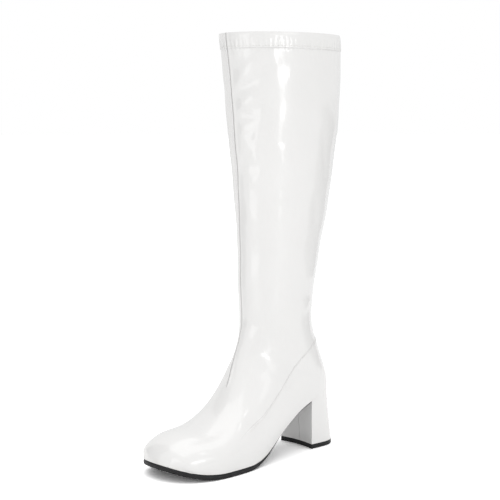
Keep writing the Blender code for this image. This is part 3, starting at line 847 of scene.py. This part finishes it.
def makeUpper():
    bm = sheetMesh(sheet)
    row, column = bm.verts.layers.int["row"], bm.verts.layers.int["column"]
    rises = relief()
    names = ("fromSeam", "fromQuarter", "quarterShare", "overFeather")
    gaps = [bm.verts.layers.float.new(name) for name in names]
    for vert in bm.verts:
        at = vert[row], vert[column]
        y, z = (float(number) for number in sheet[at][1:])
        over = z - featherHeight(y) if at[0] >= closedRows - upper["footRows"] else 1.0
        outward = vert.normal.copy()
        outward.z *= min(1.0, max(0.0, over / upper["featherLevel"]))
        vert.co += outward.normalized() * (upper["wall"] + rises[at])
        past = (upper["seamEnd"] + upper["lineFade"][0] - z) / upper["lineFade"][1]
        faded = upper["seamAway"] * float(ease(past))
        for layer, gap in zip(gaps, (seamGap[at] + faded, quarterGap[at], quarterShare[at], over)):
            vert[layer] = gap
    for face in bm.faces:
        face.smooth = True
        turnedIn = face.calc_center_median().z > upperHigh.z - upper["liningTop"]
        face.material_index = 2 if turnedIn else 0
    outside = BVHTree.FromBMesh(bm)
    for name in ("row", "column"):
        bm.verts.layers.int.remove(bm.verts.layers.int[name])
    skin = patentMaterial("patentUpper", upperLines)
    shell = meshPiece("patentUpper", bm, skin, liningMaterial(), skin, skin)
    solidify = shell.modifiers.new("wall", "SOLIDIFY")
    solidify.thickness = upper["wall"]
    solidify.offset = -1
    solidify.material_offset = 1
    bevel = shell.modifiers.new("rim", "BEVEL")
    bevel.limit_method = "ANGLE"
    bevel.angle_limit = radians(60)
    bevel.width = upper["rimRound"]
    bevel.segments = 3
    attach(shell, "root")
    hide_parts("upper")
    return outside


outside = makeUpper()
print("upper dressed")

# stitches: one row round the hem and one on the heel's side of each quarter seam
stitches = {
    "pitch": 0.0032,
    "length": 0.0023,
    "thick": 0.00056,
    "hemGap": 0.0022,          # over the hem's lower edge
    "quarterGap": 0.0019,      # behind the quarter seam
    "sunk": 0.15,              # share of the thickness from the middle to the surface
    "leastAside": 0.008,       # the quarter's rows end this near the middle
    "thread": (0.80, 0.79, 0.77, 1),
    "toneScale": 300,
    "twistScale": 2500,
    "twistDepth": 0.00004,
    "roughness": 0.6,
}


def threadMaterial():
    material, tree, shader = newMaterial("thread")
    place = objectPlace(tree)
    tone = remap(tree, noise(tree, place, stitches["toneScale"], 2), 0.3, 0.7, 0.0, 0.25)
    colour = blendColours(tree, tone, stitches["thread"], patent["line"])
    tree.links.new(colour, shader.inputs["Base Color"])
    twist = noise(tree, place, stitches["twistScale"], 1)
    tree.links.new(bumped(tree, [(twist, stitches["twistDepth"])]), shader.inputs["Normal"])
    shader.inputs["Roughness"].default_value = stitches["roughness"]
    return material


def evenPoints(line, pitch):
    line = np.array(line)
    lengths = stepLengths(line)
    at = np.linspace(0, lengths[-1], max(2, int(lengths[-1] / pitch)))
    return [Vector([float(np.interp(t, lengths, line[:, k])) for k in range(3)]) for t in at]


def sewRow(bm, line):
    points = evenPoints(line, stitches["pitch"])
    length, thick = stitches["length"], stitches["thick"]
    shape = Matrix.Diagonal((length / 2, thick / 2, thick / 2, 1)) @ Matrix.Rotation(pi / 2, 4, "Y")
    for here, after in zip(points, points[1:]):
        place, normal = outside.find_nearest((here + after) / 2)[:2]
        run = (after - here).normalized()
        side = normal.cross(run).normalized()
        turned = Matrix((run, side, run.cross(side))).transposed().to_4x4()
        placed = Matrix.Translation(place + normal * thick * stitches["sunk"]) @ turned @ shape
        bmesh.ops.create_uvsphere(bm, u_segments=6, v_segments=5, radius=1, matrix=placed)


def quarterRow(side):              # where the row behind the quarter seam meets the outside
    found = []
    gap, last = stitches["quarterGap"], upper["quarterEnd"] + upper["quarterFade"] * 0.7
    for (y, z), (dy, dz) in zip(quarterPath, np.diff(quarterPath, axis=0)):
        size = (dy * dy + dz * dz) ** 0.5
        y, z = y + dz / size * gap, z + dy / size * gap
        hit = outside.ray_cast(Vector((side, y, z)), sideways * -side)[0]
        if hit is not None and abs(hit.x) > stitches["leastAside"] and y > last:
            found.append(hit)
    return found


def makeStitches():
    bm = bmesh.new()
    rowAt = int(np.argmin(np.abs(sheet[:closedRows, 0, 2] - (hemEdge + stitches["hemGap"]))))
    sewRow(bm, [outside.find_nearest(Vector(point))[0] for point in sheet[rowAt, ::4]])
    for side in (1, -1):
        sewRow(bm, quarterRow(side))
    for face in bm.faces:
        face.smooth = True
    sewn = meshPiece("stitches", bm, threadMaterial())
    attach(sewn, "root")
    print("stitches:", len(sewn.data.polygons), "faces")


makeStitches()

# sole, top piece, heel and sock: copies of the CAD solids with rounded edges
solids = {
    "rubber": (0.007, 0.007, 0.008, 1),
    "rubberWorn": (0.032, 0.031, 0.030, 1),
    "soleEdge": 0.0007,
    "heelEdge": 0.0009,
    "rubberRoughness": (0.40, 0.56),
    "treadDepth": 0.0005,
    "treadPitch": 0.0032,
    "grainScale": 700,
    "grainDepth": 0.00003,
    "rubberWear": (0.0, 0.004),    # heights between which the wear fades
    "joinAside": 0.003,        # the heel cover's join on the breast lies to the outer side
    "joinHalf": (0.0001, 0.0004),
    "joinDark": 0.35,
    "joinRun": 0.0004,
    "joinDepth": 0.0006,
    "heelWear": (0.005, 0.012),
    "sockLight": (0.60, 0.57, 0.52, 1),
    "sockDark": (0.47, 0.44, 0.39, 1),
    "weaveScale": 420,
    "weaveDepth": 0.0001,
    "sockRoughness": 0.88,
    "sockSheen": 0.2,
}


def rubberMaterial():
    material, tree, shader = newMaterial("blackRubber")
    place = objectPlace(tree)
    axes = split(tree, place)
    scuffed = remap(tree, noise(tree, place, 160, 5), 0.55, 0.72)
    low = remap(tree, axes["Z"], *solids["rubberWear"], 1, 0.12)
    worn = combine(tree, "MULTIPLY", scuffed, low)
    colour = blendColours(tree, worn, solids["rubber"], solids["rubberWorn"])
    tree.links.new(colour, shader.inputs["Base Color"])
    rough = remap(tree, noise(tree, place, 70, 3), 0.3, 0.7, *solids["rubberRoughness"])
    tree.links.new(rough, shader.inputs["Roughness"])
    facing = split(tree, addNode(tree, "ShaderNodeNewGeometry").outputs["Normal"])
    under = remap(tree, facing["Z"], -0.9, -0.7, 1, 0)
    ribs = bands(tree, place, "Y", waveScale(solids["treadPitch"]), 0.0)
    tread = combine(tree, "MULTIPLY", remap(tree, ribs, 0.35, 0.65), under)
    grain = noise(tree, place, solids["grainScale"], 3)
    layers = [(tread, solids["treadDepth"]), (grain, solids["grainDepth"])]
    tree.links.new(bumped(tree, layers), shader.inputs["Normal"])
    shader.inputs["Specular IOR Level"].default_value = 0.35
    return material


def heelLines(tree, place):        # the join of the heel's cover, and wear near its foot
    axes = split(tree, place)
    facing = split(tree, addNode(tree, "ShaderNodeNewGeometry").outputs["Normal"])
    onBreast = remap(tree, facing["Y"], -0.9, -0.6, 1, 0)
    past = combine(tree, "SUBTRACT", axes["X"], solids["joinAside"])
    line = remap(tree, combine(tree, "ABSOLUTE", past), *solids["joinHalf"], solids["joinDark"], 0)
    lap = remap(tree, past, -solids["joinRun"], solids["joinRun"])
    lap = combine(tree, "MULTIPLY", lap, onBreast)
    scuffed = remap(tree, noise(tree, place, 90, 5), 0.5, 0.7)
    low = remap(tree, axes["Z"], *solids["heelWear"], 0.5, 0)
    wear = combine(tree, "MULTIPLY", scuffed, low)
    return combine(tree, "MULTIPLY", line, onBreast), [(lap, solids["joinDepth"])], wear


def sockMaterial():
    material, tree, shader = newMaterial("sockFabric")
    place = objectPlace(tree)
    warp = bands(tree, place, "X", solids["weaveScale"], 0.6)
    weft = bands(tree, place, "Y", solids["weaveScale"], 0.6)
    weave = combine(tree, "MULTIPLY", warp, weft)
    cloud = remap(tree, noise(tree, place, 30, 4), 0.3, 0.7)
    colour = blendColours(tree, cloud, solids["sockDark"], solids["sockLight"])
    colour = blendColours(tree, remap(tree, weave, 0.0, 0.5, 0.4, 0.0), colour, solids["sockDark"])
    tree.links.new(colour, shader.inputs["Base Color"])
    tree.links.new(bumped(tree, [(weave, solids["weaveDepth"])]), shader.inputs["Normal"])
    shader.inputs["Roughness"].default_value = solids["sockRoughness"]
    shader.inputs["Sheen Weight"].default_value = solids["sockSheen"]
    return material


def dressed(node, name, edge, material):
    bm = bmesh.new()
    bm.from_mesh(nodes[node].data)
    bmesh.ops.remove_doubles(bm, verts=bm.verts, dist=1e-6)
    pairTriangles(bm)
    for face in bm.faces:
        face.smooth = True
    piece = meshPiece(name, bm, material)
    bevel = piece.modifiers.new("edges", "BEVEL")
    bevel.limit_method = "ANGLE"
    bevel.angle_limit = radians(38)
    bevel.width = edge
    bevel.segments = 3
    weighted = piece.modifiers.new("shading", "WEIGHTED_NORMAL")
    weighted.keep_sharp = False
    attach(piece, "root")
    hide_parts(node)


rubber = rubberMaterial()
dressed("outsole", "rubberSole", solids["soleEdge"], rubber)
dressed("heel_top_piece", "rubberTopPiece", solids["soleEdge"], rubber)
dressed("heel_block", "coveredHeel", solids["heelEdge"], patentMaterial("patentHeel", heelLines))
dressed("insole", "sock", solids["soleEdge"], sockMaterial())
print("sole and heel dressed")
